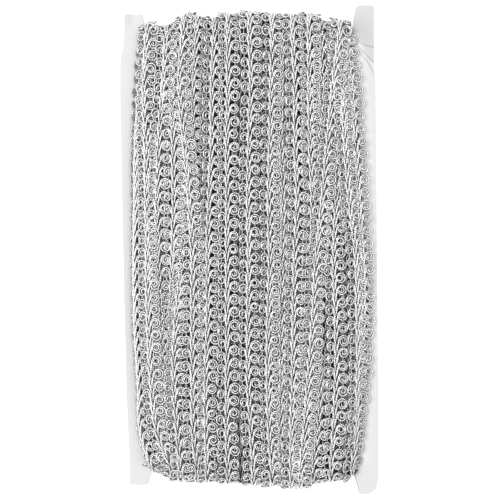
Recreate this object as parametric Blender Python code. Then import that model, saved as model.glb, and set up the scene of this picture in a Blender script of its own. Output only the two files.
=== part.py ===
"""Wavy-edged scroll gimp braid, wound lengthways on a flat white card with four ears.

Two sub-parts: the card, and the wound trim as one ring-shaped solid that fits over the card's web.
The winding carries a ridge for each turn of its outer layer and a flattened back to rest on.
The card lies level, +Y towards its upper ears and +Z towards the side that shows.
The origin is the middle of the footprint, on the resting surface. Tables are in millimetres.
"""

import math

import bmesh
import bpy
import numpy as np

MM = 0.001

# Card
CARD_THICK = 1.2 * MM
CARD_MID_HEIGHT = 10.0 * MM
WEB_HALF_LENGTH = 98.0 * MM
CLEARANCE = 0.32 * MM
ARC_STEPS = 3

# Trim and how deep its turns lie on the card
TRIM_WIDTH = 9.5 * MM
WOUND_DEPTH = 9.0 * MM
SIDE_SLOPE = 14.0 * MM
EDGE_DEPTH = 1.6 * MM
BACK_INSET = 1.0 * MM
RIDGE_DROP = 1.5 * MM
GROOVE_FLOOR = 1.9 * MM
BACK_FLATTENING = 1.2 * MM
END_REACH_FROM = 0.72
END_REACH_SHARE = 0.8

# Grid of the winding
COLUMNS = 92
FACE_ROWS = 15
END_ROWS = 7
INNER_COLUMNS = 3
SMOOTH_UP_TO = math.radians(50.0)

# Corners of the card, anticlockwise from the lower left ear: x, y, rounding
CARD_CORNERS = (
    (-53.8, -105.8, 0.8),
    (-45.8, -105.8, 0.8),
    (-43.1, -98.0, 0.8),
    (46.3, -98.0, 0.8),
    (49.2, -109.2, 1.4),
    (53.4, -110.1, 1.2),
    (57.2, -107.6, 1.0),
    (58.2, -101.4, 0.0),
    (58.0, -60.0, 0.0),
    (57.3, 22.4, 0.0),
    (56.8, 74.1, 0.0),
    (56.1, 80.9, 0.0),
    (56.2, 110.1, 1.8),
    (48.2, 110.1, 1.0),
    (46.2, 98.0, 0.8),
    (-45.9, 98.0, 0.8),
    (-48.3, 106.1, 0.8),
    (-56.4, 106.1, 0.8),
    (-56.4, 94.4, 3.0),
    (-58.2, 84.4, 3.0),
    (-58.2, 67.4, 0.0),
    (-56.4, -22.6, 0.0),
)

# Sides of the winding: y, left edge, right edge
WINDING_EDGES = (
    (-98.0, -44.5, 48.0),
    (-94.0, -49.2, 51.0),
    (-80.0, -50.9, 53.0),
    (-60.0, -52.8, 54.2),
    (-45.0, -54.1, 56.1),
    (-25.0, -54.9, 57.3),
    (20.0, -54.6, 54.4),
    (50.0, -54.1, 53.1),
    (72.0, -52.3, 51.0),
    (90.0, -50.5, 48.9),
    (94.0, -49.5, 47.8),
    (98.0, -45.2, 45.8),
)

# Width of the winding where it goes over the web's ends: left edge, right edge
LOWER_END_EDGES = (-42.6, 45.8)
UPPER_END_EDGES = (-45.3, 45.7)

# Heights along the card at which each turn's line is given
STATIONS = (-99.0, -59.0, -5.0, 49.0, 101.0)

# Turns of the outer layer, left to right.
# Line: x at each station. Lift: above or below its neighbours. Lower and upper: depth over the web's ends.
TURNS = (
    {"line": (-44.7, -50.1, -50.7, -50.3, -47.8), "lift": 0.0, "lower": 2.9, "upper": 3.4},
    {"line": (-34.3, -44.0, -45.8, -46.5, -44.4), "lift": 0.5, "lower": 5.6, "upper": 5.1},
    {"line": (-37.5, -38.8, -40.8, -40.4, -36.8), "lift": -0.4, "lower": 4.0, "upper": 4.8},
    {"line": (-36.0, -36.6, -34.5, -34.3, -33.9), "lift": -0.8, "lower": 5.0, "upper": 4.8},
    {"line": (-31.2, -33.9, -30.3, -28.0, -28.5), "lift": -0.5, "lower": 6.3, "upper": 6.5},
    {"line": (-23.5, -25.5, -25.5, -29.4, -29.4), "lift": 0.7, "lower": 6.0, "upper": 8.4},
    {"line": (-22.6, -22.6, -23.1, -25.3, -23.5), "lift": -0.8, "lower": 6.0, "upper": 8.7},
    {"line": (-19.0, -19.7, -18.8, -17.0, -15.6), "lift": 0.0, "lower": 6.3, "upper": 8.1},
    {"line": (-9.6, -10.0, -10.0, -10.0, -9.6), "lift": 0.0, "lower": 6.8, "upper": 8.9},
    {"line": (1.7, -0.6, -0.3, -0.1, -0.1), "lift": 0.2, "lower": 7.8, "upper": 9.1},
    {"line": (10.2, 8.2, 9.1, 9.3, 10.2), "lift": 0.0, "lower": 8.2, "upper": 8.1},
    {"line": (14.0, 14.3, 14.7, 14.3, 14.7), "lift": -1.3, "lower": 8.4, "upper": 7.6},
    {"line": (18.8, 19.5, 20.4, 20.6, 19.2), "lift": 0.5, "lower": 9.2, "upper": 7.8},
    {"line": (22.8, 24.6, 27.8, 27.1, 26.7), "lift": -0.2, "lower": 9.3, "upper": 8.4},
    {"line": (22.8, 26.4, 30.0, 35.2, 41.1), "lift": 0.7, "lower": 9.4, "upper": 5.4},
    {"line": (28.7, 31.8, 32.0, 32.3, 32.3), "lift": -1.3, "lower": 7.4, "upper": 6.4},
    {"line": (36.6, 38.8, 37.9, 40.0, 40.0), "lift": -0.6, "lower": 5.6, "upper": 5.2},
    {"line": (47.6, 48.5, 47.6, 42.6, 43.5), "lift": 0.0, "lower": 4.2, "upper": 5.0},
    {"line": (48.9, 51.6, 51.6, 48.3, 47.1), "lift": 0.0, "lower": 3.4, "upper": 4.6},
)


def clear_scene():
    """Removes every object that the scene starts with."""
    for thing in list(bpy.data.objects):
        bpy.data.objects.remove(thing, do_unlink=True)


def make_material(name, colour, roughness, metallic):
    """A plain Principled material."""
    material = bpy.data.materials.new(name)
    material.use_nodes = True
    shader = material.node_tree.nodes["Principled BSDF"]
    shader.inputs["Base Color"].default_value = (*colour, 1.0)
    shader.inputs["Roughness"].default_value = roughness
    shader.inputs["Metallic"].default_value = metallic
    return material


def add_object(name, mesh_builder, material):
    """Links a finished bmesh as a named object."""
    mesh = bpy.data.meshes.new(name)
    mesh_builder.to_mesh(mesh)
    mesh_builder.free()
    mesh.materials.append(material)
    thing = bpy.data.objects.new(name, mesh)
    bpy.context.scene.collection.objects.link(thing)
    return thing


def rounded_outline(corners):
    """Points in metres of a polygon whose corners carry arcs of their own rounding."""
    points = []
    count = len(corners)
    for index, (x, y, rounding) in enumerate(corners):
        corner = np.array((x, y))
        if rounding == 0.0:
            points.append(corner)
            continue
        to_last = np.array(corners[index - 1][:2]) - corner
        to_next = np.array(corners[(index + 1) % count][:2]) - corner
        to_last /= np.linalg.norm(to_last)
        to_next /= np.linalg.norm(to_next)
        half_angle = math.acos(float(np.dot(to_last, to_next))) / 2
        bisector = (to_last + to_next) / np.linalg.norm(to_last + to_next)
        centre = corner + bisector * rounding / math.sin(half_angle)
        start = corner + to_last * rounding / math.tan(half_angle) - centre
        end = corner + to_next * rounding / math.tan(half_angle) - centre
        for step in range(ARC_STEPS + 1):
            blend = start + (end - start) * step / ARC_STEPS
            points.append(centre + blend * rounding / np.linalg.norm(blend))
    return [point * MM for point in points]


def build_card(material):
    """The card: its outline extruded to the card's thickness."""
    builder = bmesh.new()
    under_side = CARD_MID_HEIGHT - CARD_THICK / 2
    corners = [builder.verts.new((x, y, under_side)) for x, y in rounded_outline(CARD_CORNERS)]
    face = builder.faces.new(corners)
    grown = bmesh.ops.extrude_face_region(builder, geom=[face])
    lifted = [part for part in grown["geom"] if isinstance(part, bmesh.types.BMVert)]
    bmesh.ops.translate(builder, verts=lifted, vec=(0.0, 0.0, CARD_THICK))
    bmesh.ops.recalc_face_normals(builder, faces=builder.faces)
    return add_object("card", builder, material)


def loop_rows():
    """Rows round the winding, each as (y on the web's skin, outward angle, side).

    The angle is 90 degrees on the front, 0 over the upper end, -90 on the back and -180 over the lower
    end, and side names the stretch of the turn.
    """
    front = [(y, 90.0, "front") for y in np.linspace(-WEB_HALF_LENGTH, WEB_HALF_LENGTH, FACE_ROWS)]
    back = [(y, -90.0, "back") for y in np.linspace(WEB_HALF_LENGTH, -WEB_HALF_LENGTH, FACE_ROWS)]
    fan = [step * 180.0 / (END_ROWS + 1) for step in range(1, END_ROWS + 1)]
    upper = [(WEB_HALF_LENGTH, 90.0 - angle, "upper end") for angle in fan]
    lower = [(-WEB_HALF_LENGTH, -90.0 - angle, "lower end") for angle in fan]
    return front + upper + back + lower


def turn_centres(y, side):
    """Where every turn's middle line crosses a row, in metres."""
    centres = []
    for index, turn in enumerate(TURNS):
        line = turn["line"]
        if side == "upper end":
            centre = line[-1]
        elif side == "lower end":
            centre = line[0]
        elif side == "front":
            centre = np.interp(y / MM, STATIONS, line)
        else:
            following = TURNS[min(index + 1, len(TURNS) - 1)]
            centre = np.interp(y / WEB_HALF_LENGTH, (-1.0, 1.0), (following["line"][0], line[-1]))
        centres.append(centre * MM)
    return np.array(centres)


def row_edges(y, side):
    """The winding's left and right edge on a row, in metres."""
    if side == "upper end":
        return UPPER_END_EDGES[0] * MM, UPPER_END_EDGES[1] * MM
    if side == "lower end":
        return LOWER_END_EDGES[0] * MM, LOWER_END_EDGES[1] * MM
    heights, lefts, rights = zip(*WINDING_EDGES)
    inset = BACK_INSET if side == "back" else 0.0
    left = np.interp(y / MM, heights, lefts) * MM + inset
    right = np.interp(y / MM, heights, rights) * MM - inset
    return left, right


def depth_over_face(x, left, right):
    """Depth of the turns' crowns on a face: full in the middle, a quarter ellipse down at each side."""
    to_side = np.minimum(x - left, right - x)
    share = np.clip(to_side / SIDE_SLOPE, 0.0, 1.0)
    return EDGE_DEPTH + (WOUND_DEPTH - EDGE_DEPTH) * np.sqrt(1.0 - (1.0 - share) ** 2)


def depth_over_end(x, key):
    """Depth of the turns' crowns over one of the web's ends, from the turns' own depths."""
    station = 0 if key == "lower" else -1
    places = sorted((turn["line"][station] * MM, turn[key] * MM) for turn in TURNS)
    centres, depths = zip(*places)
    return np.interp(x, centres, depths)


def crown_depth(x, y, left, right, side):
    """Crown depth on a row; near the web's ends a face takes on the ends' depth."""
    if side == "upper end":
        return depth_over_end(x, "upper")
    if side == "lower end":
        return depth_over_end(x, "lower")
    over_end = depth_over_end(x, "upper" if y > 0.0 else "lower")
    share = max(abs(y) / WEB_HALF_LENGTH - END_REACH_FROM, 0.0) / (1.0 - END_REACH_FROM)
    depth = depth_over_face(x, left, right)
    return depth + np.minimum(over_end - depth, 0.0) * END_REACH_SHARE * share**2


def ridge_relief(x, centres):
    """Height of the turns against their crown line: the highest of the turns' round backs."""
    lifts = np.array([turn["lift"] for turn in TURNS]) * MM
    across = np.abs(x[:, None] - centres[None, :]) / (TRIM_WIDTH / 2)
    backs = lifts[None, :] - RIDGE_DROP * across**2
    return np.maximum(backs.max(axis=1), -GROOVE_FLOOR)


def winding_section(row):
    """Closed loop of points across the winding on one row, along the outside and back along the inside."""
    y, angle, side = row
    left, right = row_edges(y, side)
    x = np.linspace(left, right, COLUMNS)
    depth = crown_depth(x, y, left, right, side) + ridge_relief(x, turn_centres(y, side))
    if side == "back":
        depth = depth + BACK_FLATTENING
    depth = np.maximum(depth, EDGE_DEPTH)
    inner_x = np.linspace(right, left, INNER_COLUMNS)
    direction = math.radians(angle)
    offset = np.concatenate((depth, np.full(INNER_COLUMNS, CLEARANCE))) + CARD_THICK / 2
    across = np.concatenate((x, inner_x))
    along = y + offset * math.cos(direction)
    height = CARD_MID_HEIGHT + offset * math.sin(direction)
    return np.column_stack((across, along, np.maximum(height, 0.0)))


def build_winding(material):
    """The wound trim: the sections joined round the card's web into one closed ring."""
    builder = bmesh.new()
    rings = []
    for row in loop_rows():
        rings.append([builder.verts.new(point) for point in winding_section(row)])
    ring_count = len(rings)
    around = len(rings[0])
    for index in range(ring_count):
        here = rings[index]
        there = rings[(index + 1) % ring_count]
        for place in range(around):
            after = (place + 1) % around
            builder.faces.new((here[place], here[after], there[after], there[place]))
    bmesh.ops.recalc_face_normals(builder, faces=builder.faces)
    winding = add_object("wound_trim", builder, material)
    winding.data.shade_smooth()
    winding.data.set_sharp_from_angle(angle=SMOOTH_UP_TO)
    return winding


def main():
    """Builds the card and the trim wound on it."""
    clear_scene()
    card_white = make_material("card_white", (0.86, 0.86, 0.86), 0.45, 0.0)
    silver_thread = make_material("silver_thread", (0.60, 0.60, 0.61), 0.38, 0.85)
    build_card(card_white)
    build_winding(silver_thread)


main()
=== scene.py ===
"""Silver scroll gimp braid with wavy edges, wound in upright turns on a white H-shaped card.

The braid is modelled cord by cord: every scroll is one spiral of cord whose stem runs along the spine.
Each turn goes up the front, over the card's upper end, down the back and round its lower end.
Lengths in the tables are millimetres; meshes are in metres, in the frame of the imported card.
"""

import math

import bpy
import numpy as np
from bpy.props import FloatProperty, FloatVectorProperty, IntProperty, PointerProperty
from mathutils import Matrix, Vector


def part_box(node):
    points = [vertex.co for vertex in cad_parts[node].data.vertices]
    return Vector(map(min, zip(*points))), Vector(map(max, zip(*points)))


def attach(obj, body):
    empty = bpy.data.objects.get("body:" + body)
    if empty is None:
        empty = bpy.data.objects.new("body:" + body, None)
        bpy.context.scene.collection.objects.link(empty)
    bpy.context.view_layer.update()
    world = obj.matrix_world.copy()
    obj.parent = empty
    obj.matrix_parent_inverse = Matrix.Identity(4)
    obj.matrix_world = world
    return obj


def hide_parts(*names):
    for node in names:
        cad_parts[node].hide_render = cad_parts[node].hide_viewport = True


bl_info = {
    "name": "Carded Scroll Braid",
    "version": (1, 0, 0),
    "blender": (4, 5, 0),
    "location": "View3D > Sidebar > Braid",
    "description": "Builds a scroll gimp braid wound on a white card",
    "category": "Object",
}

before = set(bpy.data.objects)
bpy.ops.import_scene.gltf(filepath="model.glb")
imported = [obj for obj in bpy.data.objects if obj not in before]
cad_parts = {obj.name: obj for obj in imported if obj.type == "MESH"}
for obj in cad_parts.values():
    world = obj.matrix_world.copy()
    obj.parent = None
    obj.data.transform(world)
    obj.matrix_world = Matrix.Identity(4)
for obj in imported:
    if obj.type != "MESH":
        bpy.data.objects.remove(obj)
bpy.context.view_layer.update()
CARD_LOW, CARD_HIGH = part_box("card")

MM = 0.001
BODY = "root"


def table(columns, *rows):
    """Rows of a table as dictionaries, by the names of its columns."""
    return [dict(zip(columns.split(), row)) for row in rows]


# Card levels in millimetres, from the frame
CARD_MID = (CARD_LOW.z + CARD_HIGH.z) / 2 / MM
CARD_THICK = (CARD_HIGH.z - CARD_LOW.z) / MM
WEB_HALF = 98.0

# Side bars of the card, from the lower ear to the upper one: y, outer x, inner x
LEFT_BAR = (
    (-105.8, -53.2, -46.4),
    (-105.5, -53.6, -46.1),
    (-105.0, -53.8, -45.6),
    (-98.0, -53.8, -43.1),
    (-67.6, -55.2, -43.5),
    (-22.6, -56.4, -44.2),
    (22.4, -57.3, -44.8),
    (67.4, -58.2, -45.5),
    (83.0, -58.2, -45.7),
    (86.5, -57.9, -45.7),
    (93.0, -56.6, -45.8),
    (96.5, -56.4, -45.9),
    (98.0, -56.4, -45.9),
    (105.3, -56.4, -48.1),
    (105.8, -56.2, -48.4),
    (106.1, -55.8, -48.9),
)
RIGHT_BAR = (
    (-110.1, 53.0, 50.6),
    (-109.9, 53.9, 50.0),
    (-109.2, 55.1, 49.3),
    (-108.0, 56.8, 49.0),
    (-107.2, 57.3, 48.9),
    (-101.4, 58.2, 47.2),
    (-98.0, 58.2, 46.3),
    (-60.0, 58.0, 46.3),
    (22.4, 57.3, 46.3),
    (74.1, 56.8, 46.2),
    (80.9, 56.1, 46.2),
    (98.0, 56.1, 46.2),
    (104.3, 56.1, 46.9),
    (108.6, 56.2, 47.9),
    (109.5, 55.9, 48.2),
    (110.1, 54.9, 49.0),
)

# Grid of the card: rows a plain step apart up to the creased part, columns of a bar and of the web,
# and how far from the middle the bars begin
PLAIN_STEP = 4.0
CREASED_FROM = 78.0
CREASED_STEP = 0.4
BAR_COLUMNS = 36
WEB_COLUMNS = 12
BARS_FROM = 40.0

# Creases below the bent upper right ear: y at the card's outer side, rise and curve towards the
# winding, height, shade, from 1 for dark to -1 for bright, and how far in they start.
# The last one bounds the strip below the fold where shade is painted.
CREASES = table(
    "y rise curve height shade start",
    (79.6, 2.05, -0.09, -0.10, 0.8, -3.0),
    (83.4, 0.86, 0.024, 0.10, -0.8, 2.5),
    (85.6, 0.86, 0.024, 0.10, -0.35, 3.5),
    (84.4, 0.86, 0.024, -0.10, 0.95, -3.0),
)
CREASE_RUN = 2.0
# Painted shade on the outer side below the fold, and how far in it reaches
PAINTED_STRIP_SHADE = 0.34
PAINTED_STRIP_REACH = 6.5
CREASE_WIDTH = 0.38
FOLD_Y = 91.5
FOLD_CURVE = 5.5
FOLD_WIDTH = 0.6
FOLD_SHADE = 0.75
CARD_RIGHT_SIDE = 56.1
EAR_WIDTH = 9.9

# Shades of the card: the bent ear, its inner foot, the upper left tip, cut edges, beside the winding
EAR_SHADE = 0.12
EAR_FOLD_SHADE = 0.20
EAR_FADE = 6.0
EAR_EASE = 2.0
FOOT_SHADE = 0.42
FOOT_REACH = 11.0
TIP_SHADE = 0.26
TIP_REACH = 4.6
TIP_SHARPNESS = 3.0
CUT_SHADE = 0.9
BESIDE_LEFT_SHADE = 0.26
# Below zero it is painted light, beside the winding's right side
BESIDE_RIGHT_SHADE = -0.9
BESIDE_REACH = 1.7

# Winding, as deep as the solid that it stands for: depth in the middle and at its sides, width of the
# slope between them, and where along the web's half the ends draw the depth down, and how much
WOUND_DEPTH = 9.0
EDGE_DEPTH = 1.6
SIDE_SLOPE = 14.0
END_REACH_FROM = 0.72
END_REACH_SHARE = 0.8

# Sides of the winding: y, left edge, right edge
WINDING_EDGES = (
    (-98.0, -47.8, 50.6),
    (-94.0, -49.2, 51.0),
    (-80.0, -50.9, 53.0),
    (-60.0, -52.8, 54.2),
    (-45.0, -54.1, 56.1),
    (-25.0, -54.9, 57.3),
    (20.0, -54.6, 54.4),
    (50.0, -54.1, 53.1),
    (72.0, -52.3, 51.0),
    (90.0, -50.5, 48.9),
    (98.0, -47.5, 46.7),
)

# Heights along the card at which each turn's line and its lift are given
STATIONS = (-99.0, -85.6, -58.6, -31.6, -4.6, 22.4, 49.4, 76.4, 101.0)
LIFT_STATIONS = (-98.0, -49.0, 0.0, 49.0, 98.0)

# Turns of the outer layer, left to right. Line: x of the spine at each station.
# Lift: height against the winding's depth, at each lift station. Lean: degrees that the right side is
# raised, at the lower and the upper end. Wing: degrees that the left scrolls are raised further, likewise.
# Lower and upper: depth over the card's ends. Phase: share of a pitch at the start.
TURNS = table(
    "line lift lean wing lower upper phase",
    ((-43.8, -48.4, -50.0, -51.5, -51.7, -51.4, -51.0, -48.9, -43.5),
     (-0.8, -0.8, -0.8, -1.2, -2.0), (14, 12), (-62, -40), 2.9, 2.4, 0.62),
    ((-34.3, -40.2, -44.0, -45.3, -45.8, -46.2, -46.6, -47.4, -45.8),
     (0.4, 0.5, 0.5, 0.4, 0.3), (18, 4), (-5, -34), 4.8, 4.3, 0.30),
    ((-37.5, -37.9, -38.8, -39.7, -40.8, -41.3, -40.4, -38.4, -36.9),
     (-2.2, -1.8, -0.6, -0.3, 0.2), (0, 20), (20, 44), 3.4, 3.3, 0.35),
    ((-35.7, -36.1, -36.6, -35.4, -34.5, -33.9, -34.3, -35.2, -33.9),
     (-2.2, -1.8, 0.2, 0.4, -2.0), (4, 4), (20, 20), 5.0, 4.6, 0.45),
    ((-31.2, -32.1, -33.9, -33.0, -30.3, -28.5, -28.0, -28.5, -28.5),
     (-0.2, -0.2, -0.9, -2.0, -2.0), (0, 0), (24, 24), 6.3, 6.0, 0.05),
    ((-23.5, -24.9, -25.5, -25.5, -25.5, -26.9, -29.4, -31.4, -29.4),
     (0.4, 0.6, 0.7, 0.7, 0.7), (0, 14), (20, -16), 5.6, 7.3, 0.72),
    ((-22.6, -22.6, -22.6, -22.6, -23.1, -24.4, -25.3, -25.3, -23.5),
     (-1.8, -2.2, -2.4, -0.8, -0.2), (0, -18), (28, 28), 6.0, 7.9, 0.20),
    ((-19.0, -19.5, -19.7, -18.8, -18.8, -18.1, -17.0, -16.8, -15.6),
     (-0.1, 0.0, 0.0, 0.0, 0.0), (-3, -3), (30, 30), 6.6, 6.9, 0.55),
    ((-9.6, -10.2, -10.0, -10.0, -10.0, -10.0, -10.0, -9.6, -9.6),
     (0.0, 0.0, 0.0, 0.0, 0.0), (-3, -3), (22, 22), 7.0, 8.6, 0.95),
    ((1.7, 1.0, -0.6, -0.6, -0.3, -0.6, -0.1, 0.6, -0.1),
     (0.1, 0.1, 0.1, 0.1, 0.1), (-3, -3), (22, 22), 7.8, 9.3, 0.88),
    ((10.2, 9.1, 8.2, 8.4, 9.1, 8.7, 9.3, 9.8, 10.2),
     (0.0, 0.0, 0.0, 0.0, 0.0), (-3, -3), (30, 30), 8.2, 8.7, 0.35),
    ((14.3, 13.8, 14.3, 14.3, 14.7, 15.2, 14.3, 14.7, 14.7),
     (-1.6, -2.0, -2.0, -2.0, -1.8), (0, 0), (20, 20), 8.4, 7.8, 0.50),
    ((18.8, 18.8, 19.5, 19.9, 20.4, 21.5, 20.6, 20.4, 19.2),
     (0.5, 0.5, 0.5, 0.5, 0.4), (0, 0), (24, 24), 9.0, 7.7, 0.15),
    ((21.9, 22.8, 24.6, 26.9, 27.8, 28.2, 27.1, 26.9, 26.7),
     (-2.0, -1.2, -0.5, -0.2, 0.2), (-3, -3), (28, 28), 9.3, 8.4, 0.66),
    ((28.2, 30.3, 31.8, 31.8, 31.8, 31.8, 32.3, 32.3, 32.3),
     (0.0, -2.0, -2.4, -2.3, -0.9), (0, -10), (20, 20), 7.2, 6.2, 0.25),
    ((22.8, 24.4, 26.4, 28.5, 30.0, 32.7, 35.2, 37.8, 41.1),
     (0.7, 0.7, 0.7, 0.7, 0.7), (0, -8), (16, 20), 8.5, 5.2, 0.78),
    ((36.6, 37.5, 38.8, 38.8, 37.9, 39.0, 39.9, 39.4, 37.6),
     (0.0, -0.3, -0.8, -2.4, -2.4), (-6, -4), (22, 22), 6.2, 5.2, 0.40),
    ((45.8, 47.6, 48.3, 48.3, 47.6, 44.7, 42.6, 41.6, 41.0),
     (0.1, 0.1, 0.1, 0.2, -1.8), (-38, -12), (-8, 20), 4.6, 4.6, 0.02),
    ((43.4, 45.6, 49.4, 51.0, 50.8, 49.0, 47.6, 45.3, 42.2),
     (-1.9, -1.6, -1.2, -1.4, -1.6), (-24, -14), (10, 10), 3.4, 4.4, 0.58),
)

# Wings over the card's ends: the share that stays, and where along the web's half they start to ease
WING_OVER_ENDS = 0.3
WING_EASE_FROM = 0.93

# Notches between the ears: near the card's level the braid stays between left and right, with an ease
# along the card from a given y and a fade above and below that level
NOTCHES = {"lower": {"left": -42.8, "right": 45.9}, "upper": {"left": -45.5, "right": 45.8}}
NOTCH_FROM = 96.4
NOTCH_EASE = 1.6
NOTCH_LEVEL = 1.4
NOTCH_FADE = 1.6

# Stem of a scroll, from its tucked end up the spine: along in pitches, across, up, share of the girth
STEM = table(
    "along across up girth",
    (-1.22, -0.06, -0.55, 0.7),
    (-0.98, 0.14, 0.02, 1.1),
    (-0.74, 0.36, 0.46, 1.38),
    (-0.48, 0.58, 0.60, 1.45),
    (-0.22, 0.86, 0.50, 1.3),
)

# Spiral of a scroll: its middle from the spine, radius of its first and last ring, rounds, rounds before
# it tightens, how far it is drawn out along the spine, points, shift in pitches
RIGHT_SCROLL, LEFT_SCROLL, LOWER_SCROLL = table(
    "middle first last rounds held stretch points shift",
    (3.22, 2.14, 0.72, 2.05, 0.50, 1.06, 26, 0.0),
    (2.68, 1.86, 0.72, 1.65, 0.42, 1.18, 20, 0.5),
    (2.60, 1.80, 0.70, 1.60, 0.45, 1.15, 12, 0.25),
)

# Crowding of a spiral's points to its start, and its height: at the start, its fall in the first rounds,
# its climb inwards, and the tuck of its inner end, whose cord is thinner
POINT_POWER = 1.2
START_UP = 0.40
FALL = 0.30
FALL_ROUNDS = 0.5
CLIMB = 0.24
TUCK = 0.40
TUCK_FROM = 0.86
TUCKED_GIRTH = 0.6

# How far scrolls differ: in size, place, place of the hole, turn and girth, and a link cord in its sway
UNEVEN = {"size": 0.045, "place": 0.13, "hole": 0.24, "turned": 0.12, "girth": 0.10, "sway": 0.25}

# Cords and their paths: samples on a face and over an end, reach of the running mean of the depth
CORD_SIDES = 4
FACE_SAMPLES = 120
END_SAMPLES = 26
EVEN_REACH = 5
LAYER_HALF = 1.0
LEAST_DEPTH = 2.0
CARD_CLEARANCE = 0.45
FACING_LEAST = 0.5
LINK_RADIUS = 0.24
LINK_UP = -0.62
LINK_POINTS_PER_PITCH = 1.5

# Second layer, seen through the gaps between the outer turns: its drop below them, span over which its
# slope is taken, rows of the stem that it keeps, outer turns that it lies to the right of, and how many
# turns it has on the back, inset from the sides
LOWER_DROP = 2.0
LOWER_DROP_OVER_ENDS = 0.6
SLOPE_SPAN = 2.0
LOWER_STEM = (0, 3, 4)
LOWER_TURNS = (0, 1, 2, 3, 4, 5, 6, 7, 8, 9, 10, 11, 12, 13, 15, 16, 17)
BACK_TURNS = 11
BACK_INSET = 5.0

# Under-winding: how far it lies below the crowns and inside the sides, its edges over the card's ends,
# its grid, and its ridges
UNDER_DROP = 3.6
UNDER_DROP_OVER_ENDS = 2.4
UNDER_EASE_FROM = 0.9
UNDER_INSET = 3.6
UNDER_END_SPAN = 5.0
UNDER_UPPER_LEFT = -44.9
UNDER_LOWER_LEFT = -42.2
UNDER_END_RIGHT = 45.4
UNDER_COLUMNS = 97
UNDER_ROWS = 64
UNDER_END_ROWS = 14
UNDER_INNER = 3
UNDER_SPACING = 6.4
UNDER_RELIEF = 0.45
UNDER_LEAST = 0.3
CARD_GAP = 0.32

# Thread: brightness between strands and between filaments, range of the noise that makes the filaments,
# scale of the slow shade, range of brightness that it gives, share of the colour where it is darkest,
# between strands and in the painted shade of the sides, and share of the colour on the second layer,
# which is painted shade
BETWEEN_STRANDS = 0.76
BETWEEN_FILAMENTS = 0.66
GRAIN_RANGE = (0.36, 0.60)
SHADE_SCALE = 420.0
BRIGHTNESS = (1.20, 1.78)
SHADOW_SHARE = 0.10
SECOND_LAYER_SHADE = 0.46
THREAD_METALLIC = 0.75
ROUGHER_IN_SHADOW = 0.25

# Thread of the layers beneath, near black as painted shade, and how sharp the rings on it are
UNDER_DARK = (0.010, 0.010, 0.010)
UNDER_BRIGHT = (0.09, 0.09, 0.094)
UNDER_ROUGHNESS = (0.75, 0.5)
UNDER_TWIST_LENGTH = 1.3
RING_SHARPNESS = 2.2

# Board: share of its white where it is worn, where its shade is 1 and where it is -1
WORN_SHARE = 0.95
DARK_SHARE = 0.55
BRIGHT_SHARE = 1.3
CARD_ROUGHNESS = (0.34, 0.52)

# Stage, in metres: the floor's half side and drop, the light's side and place
WHITE = (1.0, 1.0, 1.0)
SQUARE = ((-1, -1), (1, -1), (1, 1), (-1, 1))
FLOOR_REACH = 3.0
FLOOR_DROP = 0.0001
FLOOR_ROUGHNESS = 0.8
LIGHT_SIDE = 2.2
LIGHT_PLACE = (-0.5, 0.4, 2.4)

# Point that the camera looks down on, in millimetres, its level above the card's middle
VIEW_X = 0.34
VIEW_Y = -0.11
VIEW_LEVEL = 2.0


def smooth_step(values):
    """Eases 0 to 1: 3 t squared less 2 t cubed, with t clipped to that range."""
    t = np.clip(values, 0.0, 1.0)
    return t * t * (3.0 - 2.0 * t)


def curve_through(places, values, at):
    """Cubic curve through values at the given places, with the slope of its neighbours at each."""
    places = np.asarray(places, float)
    values = np.asarray(values, float)
    at = np.clip(at, places[0], places[-1])
    slopes = np.gradient(values, places)
    index = np.clip(np.searchsorted(places, at) - 1, 0, len(places) - 2)
    width = places[index + 1] - places[index]
    t = (at - places[index]) / width
    start = (1 + 2 * t) * (1 - t) ** 2 * values[index] + t * (1 - t) ** 2 * width * slopes[index]
    end = t * t * (3 - 2 * t) * values[index + 1] - t * t * (1 - t) * width * slopes[index + 1]
    return start + end


def even_out(values):
    """Running mean over a reach of samples each way, with the ends held."""
    window = 2 * EVEN_REACH + 1
    padded = np.pad(values, EVEN_REACH, "edge")
    return np.convolve(padded, np.full(window, 1.0 / window), "valid")


def unit(vectors):
    """Vectors of length one along the last axis."""
    return vectors / np.linalg.norm(vectors, axis=-1, keepdims=True)


def grid_faces(index):
    """Quads of a grid of vertex numbers, anticlockwise where rows go up and columns to the right."""
    corners = (index[:-1, :-1], index[:-1, 1:], index[1:, 1:], index[1:, :-1])
    return np.stack(corners, axis=-1).reshape(-1, 4)


def add_object(name, data):
    """New object in the scene, at the origin."""
    thing = bpy.data.objects.new(name, data)
    bpy.context.scene.collection.objects.link(thing)
    return thing


def mesh_from_arrays(name, vertices, faces, uv=None):
    """Object of quads from arrays: vertices in millimetres, rows of four corners, a UV for each corner."""
    mesh = bpy.data.meshes.new(name)
    mesh.vertices.add(len(vertices))
    mesh.vertices.foreach_set("co", (vertices * MM).astype(np.float32).ravel())
    mesh.loops.add(faces.size)
    mesh.loops.foreach_set("vertex_index", faces.astype(np.int32).ravel())
    mesh.polygons.add(len(faces))
    mesh.polygons.foreach_set("loop_start", np.arange(0, faces.size, 4, dtype=np.int32))
    mesh.update(calc_edges=True)
    if uv is not None:
        layer = mesh.uv_layers.new(name="cord")
        layer.data.foreach_set("uv", uv.astype(np.float32).ravel())
    mesh.shade_smooth()
    return add_object(name, mesh)


def fit_piece(piece, material, node):
    """Gives a piece its material, its body and the node that it stands for."""
    piece.data.materials.append(material)
    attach(piece, BODY)
    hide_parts(node)


def depth_over_end(x, key):
    """Depth of the turns over one of the card's ends at x, from the turns' own depths."""
    station = 0 if key == "lower" else -1
    places = sorted((turn["line"][station], turn[key]) for turn in TURNS)
    centres, depths = zip(*places)
    return np.interp(x, centres, depths)


def nearer_end_depth(x, y):
    """Depth of the turns at x over the end of the card that is nearer to y."""
    return np.where(y > 0.0, depth_over_end(x, "upper"), depth_over_end(x, "lower"))


def winding_sides(y):
    """Left and right edge of the winding at y."""
    heights, lefts, rights = zip(*WINDING_EDGES)
    return np.interp(y, heights, lefts), np.interp(y, heights, rights)


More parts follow.
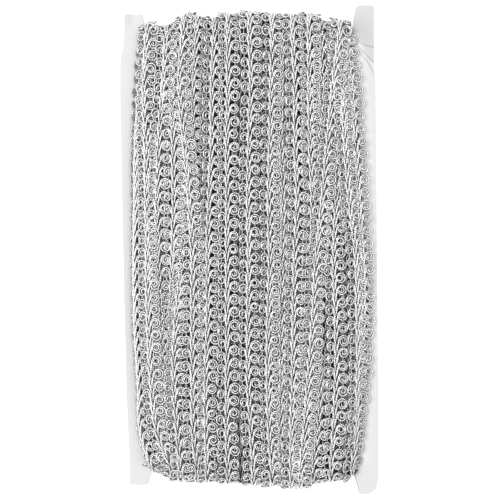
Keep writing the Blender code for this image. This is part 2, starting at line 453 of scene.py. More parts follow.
def bulged(x, y):
    """An x at y, moved as the winding's sides bulge from lines drawn straight between its ends."""
    left, right = winding_sides(y)
    ends = (-WEB_HALF, WEB_HALF)
    straight_left, straight_right = (
        np.interp(y, ends, side) for side in winding_sides(np.array(ends))
    )
    return left + (x - straight_left) * (right - left) / (straight_right - straight_left)


def mound_depth(x, y):
    """Depth of the winding's crowns at x, y on a face.

    A quarter ellipse rises from each edge to the full depth, and near the card's ends the depth
    eases towards that of the turns that go over them.
    """
    left, right = winding_sides(y)
    to_side = np.minimum(x - left, right - x)
    share = np.clip(to_side / SIDE_SLOPE, 0.0, 1.0)
    depth = EDGE_DEPTH + (WOUND_DEPTH - EDGE_DEPTH) * np.sqrt(1.0 - (1.0 - share) ** 2)
    near = np.clip((np.abs(y) / WEB_HALF - END_REACH_FROM) / (1.0 - END_REACH_FROM), 0.0, 1.0)
    return depth + np.minimum(nearer_end_depth(x, y) - depth, 0.0) * END_REACH_SHARE * near**2


def round_card(fan, rise):
    """Places along the card and outward angles of a full round: lower end, front, upper end, back."""
    low = np.full(len(fan), -WEB_HALF)
    facing = np.full(len(rise), math.pi / 2)
    y = np.concatenate((low, rise, -low, rise[::-1]))
    angle = np.concatenate((1.5 * math.pi - fan, facing, math.pi / 2 - fan, -facing))
    return y, angle


def lay_path(x, y, angle, depth, lean, wing):
    """A path as arrays: length so far, place, its own across, up and forward directions, wing angle.

    A place is the card's skin plus the depth along the outward direction, which the angle turns from +Y
    to +Z. Across is square to the path and to that direction, then turned by the lean towards up.
    """
    outward = np.column_stack((np.zeros_like(angle), np.cos(angle), np.sin(angle)))
    offset = depth - LAYER_HALF + CARD_THICK / 2
    place = np.column_stack((x, y, np.full_like(x, CARD_MID))) + outward * offset[:, None]
    steps = np.linalg.norm(np.diff(place, axis=0), axis=1)
    keep = np.concatenate(([True], steps > 0.001))
    place, outward = place[keep], outward[keep]
    length = np.concatenate(([0.0], np.cumsum(steps[keep[1:]])))
    forward = unit(np.gradient(place, length, axis=0))
    across = unit(np.cross(forward, outward))
    up = np.cross(across, forward)
    turned = np.radians(lean[keep])[:, None]
    return {
        "length": length,
        "place": place,
        "forward": forward,
        "across": across * np.cos(turned) + up * np.sin(turned),
        "up": up * np.cos(turned) - across * np.sin(turned),
        "wing": np.radians(wing[keep]),
    }


def turn_path(index):
    """Path of one turn round the lower end, up the front, over the upper end and down the back.

    Its values are held over the ends, and on the back they ease to those of the next turn's start.
    """
    turn = TURNS[index]
    after = TURNS[min(index + 1, len(TURNS) - 1)]
    rise = np.linspace(-WEB_HALF, WEB_HALF, FACE_SAMPLES)
    fall = rise[::-1]
    y, angle = round_card(np.linspace(0.0, math.pi, END_SAMPLES), rise)
    share = smooth_step((WEB_HALF - fall) / (2 * WEB_HALF))

    def round_turn(front, onward):
        back = front[-1] + (onward - front[-1]) * share
        return np.concatenate((np.pad(front, END_SAMPLES, "edge"), back))

    front_x = curve_through(STATIONS, turn["line"], rise)
    x = round_turn(front_x, after["line"][0])
    back_x = bulged(x[-FACE_SAMPLES:], fall)
    x[-FACE_SAMPLES:] = back_x
    lower, upper = np.full((2, END_SAMPLES), ((turn["lower"],), (turn["upper"],)))
    depth = np.concatenate((lower, mound_depth(front_x, rise), upper, mound_depth(back_x, fall)))
    lift = round_turn(np.interp(rise, LIFT_STATIONS, turn["lift"]), after["lift"][0])
    depth = np.maximum(even_out(depth + lift), LEAST_DEPTH)
    climb = (rise + WEB_HALF) / (2 * WEB_HALF)
    lean, wing = (
        round_turn(turn[key][0] + (turn[key][1] - turn[key][0]) * climb, after[key][0])
        for key in ("lean", "wing")
    )
    to_end = smooth_step((np.abs(y) / WEB_HALF - WING_EASE_FROM) / (1.0 - WING_EASE_FROM))
    wing = wing * (1.0 - (1.0 - WING_OVER_ENDS) * to_end)
    return lay_path(x, y, angle, depth, lean, wing)


def slope_angle(x, y):
    """Angle in degrees at which the winding's face rises to the right at x, y."""
    rise = mound_depth(x + SLOPE_SPAN, y) - mound_depth(x - SLOPE_SPAN, y)
    return np.degrees(np.arctan(rise / (2 * SLOPE_SPAN)))


def lower_path(index):
    """Path of a second-layer turn round the lower end, up the front and over the upper end.

    It runs midway between two outer turns, a drop below them, and leans with the winding's slope.
    """
    rise = np.linspace(-WEB_HALF, WEB_HALF, FACE_SAMPLES)
    fan = np.linspace(0.0, math.pi, END_SAMPLES)
    y, angle = (values[:-FACE_SAMPLES] for values in round_card(fan, rise))
    lines = [curve_through(STATIONS, turn["line"], rise) for turn in TURNS[index:index + 2]]
    front_x = (lines[0] + lines[1]) / 2
    x = np.pad(front_x, END_SAMPLES, "edge")
    depth = nearer_end_depth(x, y) - LOWER_DROP_OVER_ENDS
    depth[END_SAMPLES:-END_SAMPLES] = mound_depth(front_x, rise) - LOWER_DROP
    depth = np.maximum(even_out(depth), LEAST_DEPTH)
    return lay_path(x, y, angle, depth, slope_angle(x, y), np.zeros_like(x))


def back_path(share):
    """Path of a second-layer turn down the back, at a share of the winding's width."""
    y = np.linspace(WEB_HALF, -WEB_HALF, FACE_SAMPLES)
    left, right = winding_sides(y)
    x = left + BACK_INSET + (right - left - 2 * BACK_INSET) * share
    depth = np.maximum(mound_depth(x, y) - LOWER_DROP, LEAST_DEPTH)
    angle = np.full(FACE_SAMPLES, -math.pi / 2)
    return lay_path(x, y, angle, depth, slope_angle(x, y), np.zeros_like(x))


def on_path(path, across, along, up):
    """Points in space of points given as across, along and up a turn, by interpolation in its path.

    On the left of the spine the braid is raised by the wing angle: across turns into up by its sine.
    Past the path's ends a point goes straight on.
    """
    held = np.clip(along, path["length"][0], path["length"][-1])
    wing = np.interp(held, path["length"], path["wing"])
    left = np.minimum(across, 0.0)
    flat = across - left * (1.0 - np.cos(wing))
    raised = up - left * np.sin(wing)
    found = np.zeros(along.shape + (3,))
    for axis in range(3):
        place, side, rise, ahead = (
            np.interp(held, path["length"], path[key][:, axis])
            for key in ("place", "across", "up", "forward")
        )
        found[..., axis] = place + flat * side + raised * rise + (along - held) * ahead
    return found


def scroll_middles(path, phases, shift, pitch):
    """Where the scrolls of one side have their middles along a turn, one pitch apart.

    The count is rounded to the turn's length, and the phase drifts from the first one to the last.
    """
    total = path["length"][-1]
    count = round(total / pitch)
    number = np.arange(count) + phases[0] + shift
    return number * total / (count + phases[0] - phases[1])


def scroll_template(scroll, stem, pitch):
    """One scroll as across, along, up, how far inwards and girth: a stem, then a spiral that winds in.

    After s rounds the spiral's point is middle + R(s) (-cos s, stretch sin s). R holds the first ring's
    radius, then falls evenly to that of the last, so that the rings lie side by side round a hole.
    """
    rounds = np.linspace(0.0, 1.0, scroll["points"]) ** POINT_POWER * scroll["rounds"]
    inwards = np.clip((rounds - scroll["held"]) / (scroll["rounds"] - scroll["held"]), 0.0, 1.0)
    radius = scroll["first"] + (scroll["last"] - scroll["first"]) * inwards
    stretch = scroll["stretch"] + (1.0 - scroll["stretch"]) * inwards
    across = scroll["middle"] - radius * np.cos(rounds * 2 * math.pi)
    along = radius * stretch * np.sin(rounds * 2 * math.pi)
    tuck = smooth_step((inwards - TUCK_FROM) / (1.0 - TUCK_FROM))
    up = START_UP - FALL * smooth_step(rounds / FALL_ROUNDS) + CLIMB * inwards - TUCK * tuck
    return (
        np.concatenate(([row["across"] for row in stem], across)),
        np.concatenate(([row["along"] * pitch for row in stem], along)),
        np.concatenate(([row["up"] for row in stem], up)),
        np.concatenate((np.zeros(len(stem)), inwards)),
        np.concatenate(([row["girth"] for row in stem], np.ones(len(rounds)))),
    )


def swept_tubes(points, ups, radii):
    """Tubes along rows of points: vertices, faces and the UV of each face corner.

    The ring on a point is p + r (cos a side + sin a rise), with side square to the path and to the up
    direction. Walls join the rings, and a quad closes each end. The UV is the share of the way round,
    a quarter being the top, and the millimetres along.
    """
    rows, rings = points.shape[:2]
    ahead = unit(np.gradient(points, axis=1))
    side = unit(np.cross(ahead, ups))
    rise = np.cross(side, ahead)
    corner = np.arange(CORD_SIDES)
    angle = corner / CORD_SIDES * 2 * math.pi
    ring = side[:, :, None, :] * np.cos(angle)[:, None] + rise[:, :, None, :] * np.sin(angle)[:, None]
    vertices = (points[:, :, None, :] + ring * radii[:, :, None, None]).reshape(-1, 3)
    steps = np.linalg.norm(np.diff(points, axis=1), axis=2)
    run = np.concatenate((np.zeros((rows, 1)), np.cumsum(steps, axis=1)), axis=1)
    run = np.repeat(run.ravel(), CORD_SIDES)
    after = (corner + 1) % CORD_SIDES
    first = (np.arange(rows) * rings * CORD_SIDES)[:, None, None]
    here = first + (np.arange(rings - 1) * CORD_SIDES)[None, :, None]
    walls = (here + corner, here + after, here + after + CORD_SIDES, here + corner + CORD_SIDES)
    walls = np.stack(walls, axis=-1)
    share = np.stack((corner, corner + 1, corner + 1, corner), axis=-1) / CORD_SIDES
    share = np.broadcast_to(share, walls.shape).reshape(-1, 4)
    start = first[:, 0, :] + corner[None, ::-1]
    end = first[:, 0, :] + (rings - 1) * CORD_SIDES + corner[None, :]
    faces = np.concatenate((walls.reshape(-1, 4), start, end))
    share = np.concatenate((share, np.zeros((2 * rows, 4))))
    return vertices, faces, np.stack((share, run[faces]), axis=-1).reshape(-1, 2)


def keep_in_notch(vertices):
    """Vertices that pass the card's level beyond its ends, held between the ears with a soft edge."""
    x, y, z = vertices.T
    hold = 1.0 - smooth_step((np.abs(z - CARD_MID) - NOTCH_LEVEL) / NOTCH_FADE)
    hold = hold * smooth_step((np.abs(y) - NOTCH_FROM) / NOTCH_EASE)
    left, right = (
        np.where(y > 0.0, NOTCHES["upper"][side], NOTCHES["lower"][side]) for side in ("left", "right")
    )
    vertices[:, 0] += (np.clip(x, left, right) - x) * hold
    return vertices


def keep_off_card(points, facing):
    """Points of a front or back face, by the sign of facing, held just clear of the card's skin."""
    x, y, z = np.moveaxis(points, -1, 0)
    clear = CARD_THICK / 2 + CARD_CLEARANCE
    over_card = np.abs(y) < WEB_HALF
    z = np.where(over_card & (facing > FACING_LEAST), np.maximum(z, CARD_MID + clear), z)
    z = np.where(over_card & (facing < -FACING_LEAST), np.minimum(z, CARD_MID - clear), z)
    return np.stack((x, y, z), axis=-1)


def scroll_cords(path, phases, side, scroll, stem, settings, chance):
    """Tubes of every scroll on one side of a turn, each a little off in size, place, height and middle."""
    across, along, up, inwards, girth = scroll_template(scroll, stem, settings.pitch)
    middles = scroll_middles(path, phases, scroll["shift"], settings.pitch)
    count = len(middles)

    def uneven(key, *shape):
        return UNEVEN[key] * settings.unevenness * chance.standard_normal(shape)

    size = 1.0 + uneven("size", count, 1)
    sideways, lengthways, height = uneven("place", 3, count, 1)
    off_across, off_along = uneven("hole", 2, count, 1) * inwards
    out = smooth_step(across / scroll["middle"])
    turned = uneven("turned", count, 1) * out
    u = across * size + sideways * out - along * turned + off_across
    v = middles[:, None] + along * size + lengthways + (across - scroll["middle"]) * turned + off_along
    w = up + height
    points = on_path(path, side * u, v, w)
    ups = on_path(path, side * u, v, w + 1.0) - points
    points = keep_off_card(points, np.interp(v, path["length"], path["up"][:, 2]))
    radii = settings.cord_radius * girth * (1.0 + uneven("girth", *points.shape[:2]))
    radii[:, -1] *= TUCKED_GIRTH
    return swept_tubes(points, ups, radii)


def link_cord(path, across, settings, chance):
    """Tube of the thin cord that links the scrolls on one side of a turn, beneath them."""
    total = path["length"][-1]
    along = np.linspace(0.0, total, round(LINK_POINTS_PER_PITCH * total / settings.pitch))[None, :]
    sway = UNEVEN["sway"] * settings.unevenness * chance.standard_normal(along.shape)
    up = np.full_like(along, LINK_UP)
    points = on_path(path, across + sway, along, up)
    ups = on_path(path, across + sway, along, up + 1.0) - points
    return swept_tubes(points, ups, np.full(points.shape[:2], LINK_RADIUS))


def joined_mesh(name, parts):
    """One object of many tubes, kept in the card's notches and no lower than the floor."""
    starts = np.cumsum([0] + [len(part[0]) for part in parts[:-1]])
    vertices = keep_in_notch(np.concatenate([part[0] for part in parts]))
    faces = np.concatenate([part[1] + start for part, start in zip(parts, starts)])
    uv = np.concatenate([part[2] for part in parts])
    vertices[:, 2] = np.maximum(vertices[:, 2], 0.0)
    return mesh_from_arrays(name, vertices, faces, uv)


def turn_mesh(index, settings):
    """One turn of braid: scrolls and link cords on both sides of its spine."""
    chance = np.random.default_rng(settings.seed + index)
    path = turn_path(index)
    phases = (TURNS[index]["phase"], TURNS[min(index + 1, len(TURNS) - 1)]["phase"])
    parts = []
    for side, scroll in ((1.0, RIGHT_SCROLL), (-1.0, LEFT_SCROLL)):
        parts.append(scroll_cords(path, phases, side, scroll, STEM, settings, chance))
        parts.append(link_cord(path, side * scroll["middle"], settings, chance))
    return joined_mesh(f"turn_{index + 1:02d}", parts)


def lower_mesh(name, paths, settings):
    """Second-layer turns along the given paths, of coarser scrolls, all in one piece."""
    chance = np.random.default_rng(settings.seed + len(TURNS))
    stem = [STEM[row] for row in LOWER_STEM]
    parts = []
    for path in paths:
        phase = chance.random()
        for side in (1.0, -1.0):
            parts.append(scroll_cords(path, (phase, phase), side, LOWER_SCROLL, stem, settings, chance))
    return joined_mesh(name, parts)


def under_mesh():
    """Closed ring of the layers beneath: on each row round the card a loop across and back inside.

    Depth is the mound's less a drop, with a cosine ridge for each hidden turn.
    """
    fan = np.linspace(0.0, math.pi, UNDER_END_ROWS + 2)[1:-1]
    y, angle = round_card(fan, np.linspace(-WEB_HALF, WEB_HALF, UNDER_ROWS))
    y, angle = y[:, None], angle[:, None]
    near_end = np.abs(y) > WEB_HALF - UNDER_END_SPAN
    left, right = winding_sides(y)
    end_left = np.where(y > 0.0, UNDER_UPPER_LEFT, UNDER_LOWER_LEFT)
    left = np.where(near_end, end_left, left + UNDER_INSET)
    right = np.where(near_end, UNDER_END_RIGHT, right - UNDER_INSET)
    to_end = smooth_step((np.abs(y) / WEB_HALF - UNDER_EASE_FROM) / (1.0 - UNDER_EASE_FROM))
    drop = UNDER_DROP + (UNDER_DROP_OVER_ENDS - UNDER_DROP) * to_end
    share = np.linspace(0.0, 1.0, UNDER_COLUMNS)[None, :]
    x = left + (right - left) * share
    rows = np.broadcast_to(y, x.shape)
    on_face = np.isclose(np.abs(np.sin(angle)), 1.0)
    depth = np.where(on_face, mound_depth(x, rows), nearer_end_depth(x, rows)) - drop
    depth = depth + UNDER_RELIEF * np.cos(2 * math.pi * x / UNDER_SPACING)
    depth = np.maximum(depth, CARD_GAP + UNDER_LEAST)
    inner = left + (right - left) * np.linspace(1.0, 0.0, UNDER_INNER)[None, :]
    offset = np.concatenate((depth, np.full_like(inner, CARD_GAP)), axis=1) + CARD_THICK / 2
    x = np.concatenate((x, inner), axis=1)
    vertices = np.stack(
        (x, y + offset * np.cos(angle), CARD_MID + offset * np.sin(angle)), axis=-1
    )
    rows, columns = x.shape
    index = np.arange(rows * columns).reshape(rows, columns)
    index = np.concatenate((index, index[:1]), axis=0)
    index = np.concatenate((index, index[:, :1]), axis=1)
    return mesh_from_arrays("under_winding", keep_in_notch(vertices.reshape(-1, 3)), grid_faces(index))


def card_relief(x, y, bend):
    """Height of the card's skin and its shade at x, y, from 1 for dark to -1 for bright.

    The upper right ear is bent up along a curved fold. Below it each crease is a ridge or trough whose
    height and shade fall off as a bell curve, the shade painted dark on some creases and painted light on
    others, and shade is painted on the outer side from the last crease to the fold. Beside the winding the
    painted shade dies away as an exponential; on the right side it is painted light. The bent ear's foot
    and the upper left tip have painted shades of their own.
    """
    inwards = CARD_RIGHT_SIDE - x
    past = y - FOLD_Y - FOLD_CURVE * np.clip(inwards / EAR_WIDTH, 0.0, 1.0) ** 2
    on_right = np.where(x > BARS_FROM, 1.0, 0.0)
    relief = on_right * np.maximum(past, 0.0) * math.tan(bend)
    shade = on_right * FOLD_SHADE * np.exp(-((past / FOLD_WIDTH) ** 2))
    below = on_right * np.where(past < 0.0, 1.0, 0.0)
    for crease in CREASES:
        away = y - crease["y"] - (crease["rise"] + crease["curve"] * inwards) * inwards
        away = away / math.hypot(1.0, crease["rise"])
        bell = below * np.exp(-((away / CREASE_WIDTH) ** 2))
        bell = bell * smooth_step((inwards - crease["start"]) / CREASE_RUN)
        relief = relief + crease["height"] * bell
        shade = shade + crease["shade"] * bell
    # Painted shade on the outer side from the last crease to the fold
    painted_strip = below * smooth_step(away / CREASE_WIDTH) * smooth_step((PAINTED_STRIP_REACH - inwards) / CREASE_RUN)
    shade = shade + PAINTED_STRIP_SHADE * painted_strip
    foot = np.clip(1.0 - np.hypot(x - RIGHT_BAR[-4][2], y - WEB_HALF) / FOOT_REACH, 0.0, 1.0)
    ear = EAR_SHADE + EAR_FOLD_SHADE * np.exp(-np.maximum(past, 0.0) / EAR_FADE) + FOOT_SHADE * foot
    shade = shade + on_right * smooth_step(past / EAR_EASE) * ear
    tip = 1.0 - ((x - LEFT_BAR[-1][1]) + (LEFT_BAR[-1][0] - y)) / TIP_REACH
    shade = shade + np.where(x < -BARS_FROM, 1.0, 0.0) * TIP_SHADE * smooth_step(TIP_SHARPNESS * tip)
    left, right = winding_sides(y)
    beyond = np.maximum(left - x, x - right)
    beside = np.where(np.abs(y) < WEB_HALF, 1.0, 0.0) * np.exp(-np.maximum(beyond, 0.0) / BESIDE_REACH)
    beside = np.where(x < 0.0, BESIDE_LEFT_SHADE, BESIDE_RIGHT_SHADE) * beside
    return relief, np.clip(shade + beside, -1.0, 1.0)


def bar_grid(bar):
    """Rows of one side bar and its grid of x, spaced evenly between the bar's outer and inner edges."""
    heights, outers, inners = (np.array(column) for column in zip(*bar))
    tips = heights[np.abs(heights) > WEB_HALF]
    plain = np.arange(-WEB_HALF, CREASED_FROM, PLAIN_STEP)
    creased = np.arange(CREASED_FROM, WEB_HALF, CREASED_STEP)
    rows = np.concatenate((tips[tips < 0], plain, creased, [WEB_HALF], tips[tips > 0]))
    edges = np.sort([np.interp(rows, heights, side) for side in (outers, inners)], axis=0)
    left, right = edges[:, :, None]
    return rows, left + (right - left) * np.linspace(0.0, 1.0, BAR_COLUMNS)


def card_mesh(settings):
    """Card as one skin of three grids that share their edges: two bars with ears and the web between."""
    bars = [bar_grid(bar) for bar in (LEFT_BAR, RIGHT_BAR)]
    vertices = []
    shades = []
    indices = []
    start = 0
    for (rows, x), inner_edge in zip(bars, (slice(-2, None), slice(2))):
        y = np.broadcast_to(rows[:, None], x.shape)
        relief, shade = card_relief(x, y, settings.ear_bend)
        on_ear = (np.abs(rows) > WEB_HALF) & ((rows < 0.0) | (x[:, 0] < 0.0))
        shade[on_ear, inner_edge] = CUT_SHADE
        vertices.append(np.stack((x, y, CARD_MID + relief), axis=-1).reshape(-1, 3))
        shades.append(shade.ravel())
        indices.append(start + np.arange(x.size).reshape(x.shape))
        start += x.size
    (left_rows, left_x), (right_rows, right_x) = bars
    left_web = np.flatnonzero(np.abs(left_rows) <= WEB_HALF)
    right_web = np.flatnonzero(np.abs(right_rows) <= WEB_HALF)
    from_x = left_x[left_web, -1:]
    to_x = right_x[right_web, :1]
    x = from_x + (to_x - from_x) * np.linspace(0.0, 1.0, WEB_COLUMNS)[1:-1]
    y = np.broadcast_to(left_rows[left_web][:, None], x.shape)
    vertices.append(np.stack((x, y, np.full_like(x, CARD_MID)), axis=-1).reshape(-1, 3))
    shades.append(np.zeros(x.size))
    middle = start + np.arange(x.size).reshape(x.shape)
    web = np.concatenate((indices[0][left_web, -1:], middle, indices[1][right_web, :1]), axis=1)
    faces = np.concatenate([grid_faces(index) for index in (*indices, web)])
    card = mesh_from_arrays("white_card", np.concatenate(vertices), faces)
    # The shade attribute carries painted shade into the card's colour, and painted light where it is below
    # zero
    shade = card.data.attributes.new("shade", "FLOAT", "POINT")
    shade.data.foreach_set("value", np.concatenate(shades).astype(np.float32))
    wall = card.modifiers.new("thickness", "SOLIDIFY")
    wall.thickness = CARD_THICK * MM
    wall.offset = 0.0
    edge = card.modifiers.new("edge", "BEVEL")
    edge.width = settings.edge_radius
    edge.segments = 2
    edge.limit_method = "ANGLE"
    edge.angle_limit = math.radians(60.0)
    return card


def new_tree(material_name):
    """A new node material, with its tree and the inputs of its Principled shader."""
    material = bpy.data.materials.new(material_name)
    material.use_nodes = True
    return material, material.node_tree, material.node_tree.nodes["Principled BSDF"].inputs


def feed(sockets, values):
    """Sets sockets, by name or number, to numbers or plain colours, or links other sockets to them."""
    for key, value in values.items():
        if isinstance(value, (int, float)):
            sockets[key].default_value = value
        elif isinstance(value, tuple):
            sockets[key].default_value = (*value, 1.0)
        else:
            value.id_data.links.new(value, sockets[key])


def add_node(tree, kind, values, **settings):
    """A new shader node, with its settings made and its inputs fed; returns its outputs."""
    node = tree.nodes.new("ShaderNode" + kind)
    for name, setting in settings.items():
        setattr(node, name, setting)
    feed(node.inputs, values)
    return node.outputs


def maths(tree, operation, *values, clamp=False):
    """Output of a Math node whose inputs are sockets or numbers."""
    return add_node(tree, "Math", dict(enumerate(values)), operation=operation, use_clamp=clamp)[0]


def spread(tree, value, low, high, start=0.0, stop=1.0):
    """Maps a value from one range, 0 to 1 unless given, to another."""
    ends = {"From Min": start, "From Max": stop, "To Min": low, "To Max": high}
    return add_node(tree, "MapRange", {"Value": value, **ends})["Result"]


def blend_colours(tree, share, first, second):
    """Mixes two colours, plain or from sockets, by a value."""
    values = {"Factor": share, "A": first, "B": second}
    return add_node(tree, "Mix", values, data_type="RGBA")["Result"]


def times(colour, share):
    """A plain colour times a share."""
    return tuple(share * value for value in colour)


def add_noise(tree, scale, detail=2.0):
    """Value of a Noise node on object coordinates."""
    place = add_node(tree, "TexCoord", {})["Object"]
    return add_node(tree, "TexNoise", {"Vector": place, "Scale": scale, "Detail": detail})["Fac"]


def add_bump(tree, height, strength, distance):
    """Normal that a Bump node makes of a height, its distance in metres."""
    values = {"Height": height, "Strength": strength, "Distance": distance}
    return add_node(tree, "Bump", values)["Normal"]


def thread_group():
    """Node group of twisted metallic thread, on a cord's UV and on object coordinates.

    Height is a sine stripe that winds round the cord, plus fine filaments; Bright is high on the cord's
    strands and low between them, and high on its top and low at its sides, which is painted shade; Shade
    is a slow change along the cords.
    """
    tree = bpy.data.node_groups.new("twisted_thread", "ShaderNodeTree")
    for name, default in (("Twist Length", 0.9), ("Side Shade", 0.7), ("Filament Scale", 2300.0)):
        socket = tree.interface.new_socket(name, in_out="INPUT", socket_type="NodeSocketFloat")
        socket.default_value = default
    for name in ("Height", "Bright", "Shade"):
        tree.interface.new_socket(name, in_out="OUTPUT", socket_type="NodeSocketFloat")
    given = tree.nodes.new("NodeGroupInput").outputs
    uv = add_node(tree, "UVMap", {}, uv_map="cord")["UV"]
    parts = add_node(tree, "SeparateXYZ", {0: uv})
    round_cord = parts["X"]
    along = maths(tree, "DIVIDE", parts["Y"], given["Twist Length"])
    turned = maths(tree, "ADD", round_cord, along)
    stripe = maths(tree, "SINE", maths(tree, "MULTIPLY", turned, 2 * math.pi))
    stripe = spread(tree, stripe, 0.0, 1.0, -1.0)
    # A cord's sides darker than its top: painted shade
    top = maths(tree, "SINE", maths(tree, "MULTIPLY", round_cord, 2 * math.pi))
    top = spread(tree, top, 0.0, 1.0)
    grain = spread(tree, add_noise(tree, given["Filament Scale"]), 0.0, 1.0, *GRAIN_RANGE)
    strand = spread(tree, stripe, BETWEEN_STRANDS, 1.0)
    strand = maths(tree, "MULTIPLY", strand, spread(tree, grain, BETWEEN_FILAMENTS, 1.0))
    lowest = maths(tree, "SUBTRACT", 1.0, given["Side Shade"])
    side = maths(tree, "MULTIPLY_ADD", top, given["Side Shade"], lowest)
    results = {
        "Height": maths(tree, "ADD", stripe, grain),
        "Bright": maths(tree, "MULTIPLY", strand, side),
        "Shade": add_noise(tree, SHADE_SCALE, detail=1.0),
    }
    feed(tree.nodes.new("NodeGroupOutput").inputs, results)
    return tree


def add_thread(tree, group, twist_length, side_shade):
    """Places the thread group in a material; returns its outputs."""
    values = {"Twist Length": twist_length, "Side Shade": side_shade}
    return add_node(tree, "Group", values, node_tree=group)


def thread_material(name, colour, group, settings):
    """Silver metallic thread: darker and rougher where the thread group isn't bright."""
    material, tree, shader = new_tree(name)
    thread = add_thread(tree, group, settings.twist_length, settings.side_shade)
    slow = spread(tree, thread["Shade"], *BRIGHTNESS)
    bright = maths(tree, "MULTIPLY", thread["Bright"], slow, clamp=True)
    rough = settings.thread_roughness
    values = {
        "Base Color": blend_colours(tree, bright, times(colour, SHADOW_SHARE), colour),
        "Metallic": THREAD_METALLIC,
        "Roughness": spread(tree, bright, rough + ROUGHER_IN_SHADOW, rough),
        "Normal": add_bump(tree, thread["Height"], strength=0.7, distance=0.00012),
    }
    feed(shader, values)
    return material


def under_material(group):
    """Thread of the layers beneath, darkened to near black as painted shade, with faint rings of their
    scrolls.
    """
    material, tree, shader = new_tree("under_thread_shaded")
    thread = add_thread(tree, group, UNDER_TWIST_LENGTH, 0.0)
    place = add_node(tree, "TexCoord", {})["Object"]
    values = {"Vector": place, "Scale": 300.0, "Randomness": 0.55}
    cells = add_node(tree, "TexVoronoi", values, feature="DISTANCE_TO_EDGE")
    ring = maths(tree, "MULTIPLY", cells["Distance"], RING_SHARPNESS, clamp=True)
    shade = maths(tree, "MULTIPLY", ring, thread["Bright"])
    height = maths(tree, "ADD", ring, thread["Height"])
    values = {
        "Base Color": blend_colours(tree, shade, UNDER_DARK, UNDER_BRIGHT),
        "Roughness": spread(tree, ring, *UNDER_ROUGHNESS),
        "Normal": add_bump(tree, height, strength=0.8, distance=0.0004),
    }
    feed(shader, values)
    return material


def card_material(settings):
    """White plastic board: faint mottle, satin gloss, darker and brighter by the mesh's shade."""
    material, tree, shader = new_tree("card_white")
    white = tuple(settings.card_colour)
    mottle = add_noise(tree, 45.0, detail=4.0)
    shade = add_node(tree, "Attribute", {}, attribute_name="shade")["Fac"]
    dark = spread(tree, shade, 0.0, 1.0)
    bright = spread(tree, shade, 0.0, 1.0, 0.0, -1.0)
    colour = blend_colours(tree, mottle, times(white, WORN_SHARE), white)
    colour = blend_colours(tree, dark, colour, times(white, DARK_SHARE))
    values = {
        "Base Color": blend_colours(tree, bright, colour, times(white, BRIGHT_SHARE)),
        "Roughness": spread(tree, mottle, *CARD_ROUGHNESS),
        "Normal": add_bump(tree, add_noise(tree, 900.0), strength=0.12, distance=0.0001),
    }
    feed(shader, values)
    return material


def lay_floor(settings):
    """Pale square floor just under the winding, which glows a little."""
    mesh = bpy.data.meshes.new("floor")
    corners = [(x * FLOOR_REACH, y * FLOOR_REACH, -FLOOR_DROP) for x, y in SQUARE]
    mesh.from_pydata(corners, [], [(0, 1, 2, 3)])
    material, _, shader = new_tree("floor_white")
    feed(shader, {"Base Color": tuple(settings.floor_colour), "Roughness": FLOOR_ROUGHNESS})
    feed(shader, {"Emission Color": WHITE, "Emission Strength": settings.floor_glow})
    mesh.materials.append(material)
    add_object("floor", mesh)


def light_studio(settings):
    """Even light from all round, and a square softbox overhead that faces the card."""
    world = bpy.data.worlds.new("studio")
    world.use_nodes = True
    background = world.node_tree.nodes["Background"]
    feed(background.inputs, {"Color": WHITE, "Strength": settings.surround})
    bpy.context.scene.world = world
    light = bpy.data.lights.new("softbox", "AREA")
    light.shape = "SQUARE"
    light.size = LIGHT_SIDE
    light.energy = settings.softbox
    lamp = add_object("softbox", light)
    lamp.location = LIGHT_PLACE
    lamp.rotation_euler = Vector(LIGHT_PLACE).to_track_quat("Z", "Y").to_euler()


def aim_camera(settings):
    """Camera straight above the card, as far away as its lens needs to take in the view's width."""
    lens = bpy.data.cameras.new("camera")
    lens.lens = settings.lens
    away = settings.view_width * settings.lens / lens.sensor_width
    camera = add_object("camera", lens)
    camera.location = (VIEW_X * MM, VIEW_Y * MM, (CARD_MID + VIEW_LEVEL) * MM + away)
    bpy.context.scene.camera = camera


class BraidSettings(bpy.types.PropertyGroup):
    """Sizes and colours of the braid."""

    pitch: FloatProperty(
        name="Scroll pitch", description="Length of braid to a scroll, mm", default=5.715
    )
    cord_radius: FloatProperty(
        name="Cord radius", description="Half a scroll cord's thickness, mm", default=0.40
    )
    unevenness: FloatProperty(
        name="Unevenness", description="How far scrolls differ", default=1.0, min=0.0, max=2.0
    )
    seed: IntProperty(name="Seed", description="Start of the random draws", default=7)
    twist_length: FloatProperty(
        name="Twist length", description="Length of a turn of the thread, mm", default=1.0
    )
    # Painted shade on a cord's sides
    side_shade: FloatProperty(
        name="Side shade", description="How dark a cord's sides are", default=0.75, max=1.0
    )
    thread_colour: FloatVectorProperty(
        name="Thread colour", description="Bright silver", subtype="COLOR", default=(0.95, 0.95, 0.96)
    )
    thread_roughness: FloatProperty(
        name="Thread roughness", description="Roughness where filaments shine", default=0.34, min=0.0, max=1.0
    )


class CardSettings(bpy.types.PropertyGroup):
    """Finish of the card."""

    card_colour: FloatVectorProperty(
        name="Card colour", description="White of the board", subtype="COLOR", default=(0.66,) * 3
    )
    ear_bend: FloatProperty(
        name="Ear bend", description="Bend of the right ear", subtype="ANGLE", default=math.radians(7.0)
    )
    edge_radius: FloatProperty(
        name="Edge radius",
        description="Rounding of the cut edge",
        subtype="DISTANCE",
        default=0.00018,
        precision=5,
    )


class StageSettings(bpy.types.PropertyGroup):
    """Floor, light and camera."""

    floor_colour: FloatVectorProperty(
        name="Floor colour", description="Pale floor", subtype="COLOR", default=(0.95,) * 3
    )
    floor_glow: FloatProperty(
        name="Floor glow", description="Light of a backlit floor", default=0.5, min=0.0
    )
    softbox: FloatProperty(
        name="Softbox", description="Power of the light overhead, W", default=63.8
    )
    surround: FloatProperty(
        name="Surround", description="Strength of the light all round", default=0.42
    )
    view_width: FloatProperty(
        name="View width", description="Width of the picture", subtype="DISTANCE", default=0.225
    )
    lens: FloatProperty(name="Lens", description="Focal length, mm", default=400.0)


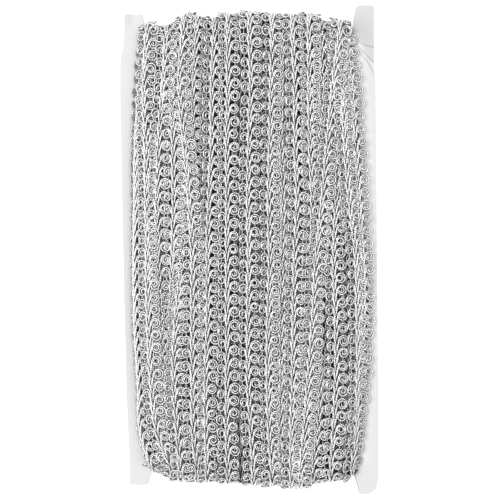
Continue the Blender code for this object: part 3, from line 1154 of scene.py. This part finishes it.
class BRAID_OT_wind_turns(bpy.types.Operator):
    """Models the outer turns of braid, one piece for each turn."""

    bl_idname = "braid.wind_turns"
    bl_label = "Wind the turns"

    def execute(self, context):
        settings = context.scene.braid_settings
        group = bpy.data.node_groups.get("twisted_thread") or thread_group()
        colour = tuple(settings.thread_colour)
        bright = thread_material("silver_thread", colour, group, settings)
        # The second layer is a darker copy of the thread: painted shade
        shaded_below = thread_material("silver_thread_shaded_below", times(colour, SECOND_LAYER_SHADE), group, settings)
        for index in range(len(TURNS)):
            fit_piece(turn_mesh(index, settings), bright, "wound_trim")
        groups = {
            "lower_turns": [lower_path(index) for index in LOWER_TURNS],
            "lower_turns_back": [back_path(share) for share in np.linspace(0.0, 1.0, BACK_TURNS)],
        }
        for name, paths in groups.items():
            fit_piece(lower_mesh(name, paths, settings), shaded_below, "wound_trim")
        return {"FINISHED"}


class BRAID_OT_fill_under(bpy.types.Operator):
    """Models the layers of braid beneath the outer turns."""

    bl_idname = "braid.fill_under"
    bl_label = "Fill the layers beneath"

    def execute(self, context):
        group = bpy.data.node_groups.get("twisted_thread") or thread_group()
        fit_piece(under_mesh(), under_material(group), "wound_trim")
        return {"FINISHED"}


class BRAID_OT_cut_card(bpy.types.Operator):
    """Models the white card with its ears and creases."""

    bl_idname = "braid.cut_card"
    bl_label = "Cut the card"

    def execute(self, context):
        settings = context.scene.card_settings
        fit_piece(card_mesh(settings), card_material(settings), "card")
        return {"FINISHED"}


class BRAID_OT_set_stage(bpy.types.Operator):
    """Sets the pale floor, the soft light and the camera above the card."""

    bl_idname = "braid.set_stage"
    bl_label = "Set the stage"

    def execute(self, context):
        settings = context.scene.stage_settings
        lay_floor(settings)
        light_studio(settings)
        aim_camera(settings)
        context.scene.view_settings.view_transform = "Standard"
        return {"FINISHED"}


class BRAID_PT_panel(bpy.types.Panel):
    """Lists the braid's settings and steps."""

    bl_label = "Carded Scroll Braid"
    bl_space_type = "VIEW_3D"
    bl_region_type = "UI"
    bl_category = "Braid"

    def draw(self, context):
        column = self.layout.column()
        for group, name in GROUPS:
            for setting in group.__annotations__:
                column.prop(getattr(context.scene, name), setting)
            column.separator()
        for step in STEPS:
            column.operator(step.bl_idname)


GROUPS = (
    (BraidSettings, "braid_settings"),
    (CardSettings, "card_settings"),
    (StageSettings, "stage_settings"),
)
STEPS = (BRAID_OT_wind_turns, BRAID_OT_fill_under, BRAID_OT_cut_card, BRAID_OT_set_stage)


def register():
    """Registers the settings, the steps and the panel."""
    for group, name in GROUPS:
        bpy.utils.register_class(group)
        setattr(bpy.types.Scene, name, PointerProperty(type=group))
    for step in (*STEPS, BRAID_PT_panel):
        bpy.utils.register_class(step)


def unregister():
    """Takes away what register added."""
    for step in (BRAID_PT_panel, *STEPS):
        bpy.utils.unregister_class(step)
    for group, name in GROUPS:
        delattr(bpy.types.Scene, name)
        bpy.utils.unregister_class(group)


def main():
    """Registers the classes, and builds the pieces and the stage."""
    register()
    bpy.ops.braid.wind_turns()
    bpy.ops.braid.fill_under()
    bpy.ops.braid.cut_card()
    bpy.ops.braid.set_stage()


if __name__ == "__main__":
    main()
